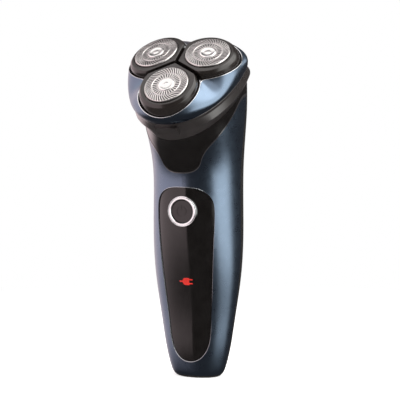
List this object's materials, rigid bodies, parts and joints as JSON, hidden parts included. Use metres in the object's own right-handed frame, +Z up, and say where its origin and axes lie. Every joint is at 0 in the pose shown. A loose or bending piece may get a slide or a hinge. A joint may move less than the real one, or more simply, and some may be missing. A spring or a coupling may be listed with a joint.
{
  "type": "rotary electric shaver",
  "caption": "Cordless rotary shaver with a contoured handle, push button, flip-open tilted head and floating round cutting units.",
  "frame": {"origin": "middle of the flat base of the handle, where the handle's centre line meets the base plane", "axes": "+Z up the handle, -Y towards the button side that the head leans over, +X to the right of someone who looks at the button"},
  "size_m": [0.0594, 0.0656, 0.1645],
  "materials": {
    "blue_lacquer": "metallic blue lacquer, high gloss",
    "black_gloss": "piano black, high gloss",
    "black_satin": "fine satin moulding",
    "chrome": "bright plated",
    "comb_steel": "turned and slotted steel foil",
    "cutter_steel": "ground steel",
    "comb_cap": "silver lacquered disc",
    "red_lens": "translucent red lens",
    "gear_nylon": "natural moulded gear plastic",
    "deck_plastic": "glass-filled inner moulding",
    "spindle_plastic": "grey acetal",
    "spring_steel": "bright spring wire",
    "pin_steel": "ground pin",
    "motor_steel": "zinc plated can",
    "rotor_iron": "laminated core with copper windings",
    "battery_wrap": "shrink sleeve",
    "contact_metal": "plated contact strip",
    "board_green": "solder mask"
  },
  "bodies": {
    "handle": {"front_shell": "blue_lacquer", "rear_shell": "black_satin", "neck_collar": "black_gloss", "collar_trim": "chrome", "control_panel": "black_gloss", "indicator_lens": "red_lens", "bottom_cap": "black_satin", "charging_socket": "black_satin", "charging_pins": "contact_metal", "battery_cell": "battery_wrap", "battery_contacts": "contact_metal", "circuit_board": "board_green", "tactile_switch": "black_satin", "indicator_led": "red_lens", "chassis": "deck_plastic", "button_bezel": "chrome", "neck_ring": "black_gloss", "gearbox_base": "deck_plastic", "gearbox_cover": "deck_plastic", "gearbox_screws": "pin_steel", "hinge_pin": "pin_steel", "motor_can": "motor_steel"},
    "power_button": {"power_button": "black_gloss"},
    "release_button": {"release_button": "black_gloss"},
    "motor_rotor": {"motor_shaft": "pin_steel", "motor_armature": "rotor_iron", "drive_pinion": "contact_metal"},
    "head": {"head_holder": "blue_lacquer", "head_trim": "chrome", "lobe_frame": "deck_plastic", "lobe_pivot_pins": "pin_steel"},
    "gear_front": {"drive_gear_front": "gear_nylon", "spindle_spring_front": "spring_steel"},
    "spindle_front": {"spindle_front": "spindle_plastic"},
    "lobe_front": {"lobe_cover_front": "black_gloss", "comb_retainer_front": "spindle_plastic"},
    "comb_front": {"comb_front": "comb_steel", "comb_cap_front": "comb_cap"},
    "cutter_front": {"cutter_front": "cutter_steel"},
    "gear_right": {"drive_gear_right": "gear_nylon", "spindle_spring_right": "spring_steel"},
    "spindle_right": {"spindle_right": "spindle_plastic"},
    "lobe_right": {"lobe_cover_right": "black_gloss", "comb_retainer_right": "spindle_plastic"},
    "comb_right": {"comb_right": "comb_steel", "comb_cap_right": "comb_cap"},
    "cutter_right": {"cutter_right": "cutter_steel"},
    "gear_left": {"drive_gear_left": "gear_nylon", "spindle_spring_left": "spring_steel"},
    "spindle_left": {"spindle_left": "spindle_plastic"},
    "lobe_left": {"lobe_cover_left": "black_gloss", "comb_retainer_left": "spindle_plastic"},
    "comb_left": {"comb_left": "comb_steel", "comb_cap_left": "comb_cap"},
    "cutter_left": {"cutter_left": "cutter_steel"}
  },
  "joints": [
    {"name": "power_button_slide", "type": "slide", "parent": "handle", "child": "power_button", "axis": [0, 1, 0], "range_m": [0, 0.0006]},
    {"name": "release_button_slide", "type": "slide", "parent": "handle", "child": "release_button", "axis": [0, 0.7727, 0.6347], "range_m": [0, 0.0008]},
    {"name": "motor_spin", "type": "hinge", "parent": "handle", "child": "motor_rotor", "pos_m": [0, -0.0259, 0.1526], "axis": [0, -0.6347, 0.7727], "continuous": true},
    {"name": "head_open", "type": "hinge", "parent": "handle", "child": "head", "pos_m": [0, 0.00409, 0.15989], "axis": [-1, 0, 0], "range_deg": [0, 100]},
    {"name": "gear_front_spin", "type": "hinge", "parent": "handle", "child": "gear_front", "pos_m": [0, -0.03726, 0.14327], "axis": [0, -0.6347, 0.7727], "continuous": true},
    {"name": "spindle_front_slide", "type": "slide", "parent": "gear_front", "child": "spindle_front", "axis": [0, 0.6347, -0.7727], "range_m": [0, 0.001], "deforming": ["spindle_spring_front"]},
    {"name": "lobe_front_rock", "type": "hinge", "parent": "head", "child": "lobe_front", "pos_m": [0, -0.03316, 0.13828], "axis": [1, 0, 0], "range_deg": [-4, 4]},
    {"name": "comb_front_press", "type": "slide", "parent": "lobe_front", "child": "comb_front", "axis": [0, 0.7218, -0.6921], "range_m": [0, 0.001]},
    {"name": "cutter_front_spin", "type": "hinge", "parent": "comb_front", "child": "cutter_front", "pos_m": [0, -0.03785, 0.14278], "axis": [0, -0.7218, 0.6921], "continuous": true},
    {"name": "gear_right_spin", "type": "hinge", "parent": "handle", "child": "gear_right", "pos_m": [0.01273, -0.02022, 0.15727], "axis": [0, -0.6347, 0.7727], "continuous": true},
    {"name": "spindle_right_slide", "type": "slide", "parent": "gear_right", "child": "spindle_right", "axis": [0, 0.6347, -0.7727], "range_m": [0, 0.001], "deforming": ["spindle_spring_right"]},
    {"name": "lobe_right_rock", "type": "hinge", "parent": "head", "child": "lobe_right", "pos_m": [0.01273, -0.01612, 0.15228], "axis": [-0.5, 0.6692, 0.5497], "range_deg": [-4, 4]},
    {"name": "comb_right_press", "type": "slide", "parent": "lobe_right", "child": "comb_right", "axis": [-0.1025, 0.5845, -0.8049], "range_m": [0, 0.001]},
    {"name": "cutter_right_spin", "type": "hinge", "parent": "comb_right", "child": "cutter_right", "pos_m": [0.0134, -0.01992, 0.15751], "axis": [0.1025, -0.5845, 0.8049], "continuous": true},
    {"name": "gear_left_spin", "type": "hinge", "parent": "handle", "child": "gear_left", "pos_m": [-0.01273, -0.02022, 0.15727], "axis": [0, -0.6347, 0.7727], "continuous": true},
    {"name": "spindle_left_slide", "type": "slide", "parent": "gear_left", "child": "spindle_left", "axis": [0, 0.6347, -0.7727], "range_m": [0, 0.001], "deforming": ["spindle_spring_left"]},
    {"name": "lobe_left_rock", "type": "hinge", "parent": "head", "child": "lobe_left", "pos_m": [-0.01273, -0.01612, 0.15228], "axis": [-0.5, -0.6692, -0.5497], "range_deg": [-4, 4]},
    {"name": "comb_left_press", "type": "slide", "parent": "lobe_left", "child": "comb_left", "axis": [0.1025, 0.5845, -0.8049], "range_m": [0, 0.001]},
    {"name": "cutter_left_spin", "type": "hinge", "parent": "comb_left", "child": "cutter_left", "pos_m": [-0.0134, -0.01992, 0.15751], "axis": [-0.1025, -0.5845, 0.8049], "continuous": true}
  ],
  "couplings": [
    {"joint": "gear_front_spin", "follows": "motor_spin", "ratio": -0.5},
    {"joint": "cutter_front_spin", "follows": "motor_spin", "ratio": -0.5},
    {"joint": "spindle_front_slide", "follows": "comb_front_press", "ratio": 1},
    {"joint": "gear_right_spin", "follows": "motor_spin", "ratio": -0.5},
    {"joint": "cutter_right_spin", "follows": "motor_spin", "ratio": -0.5},
    {"joint": "spindle_right_slide", "follows": "comb_right_press", "ratio": 1},
    {"joint": "gear_left_spin", "follows": "motor_spin", "ratio": -0.5},
    {"joint": "cutter_left_spin", "follows": "motor_spin", "ratio": -0.5},
    {"joint": "spindle_left_slide", "follows": "comb_left_press", "ratio": 1}
  ]
}
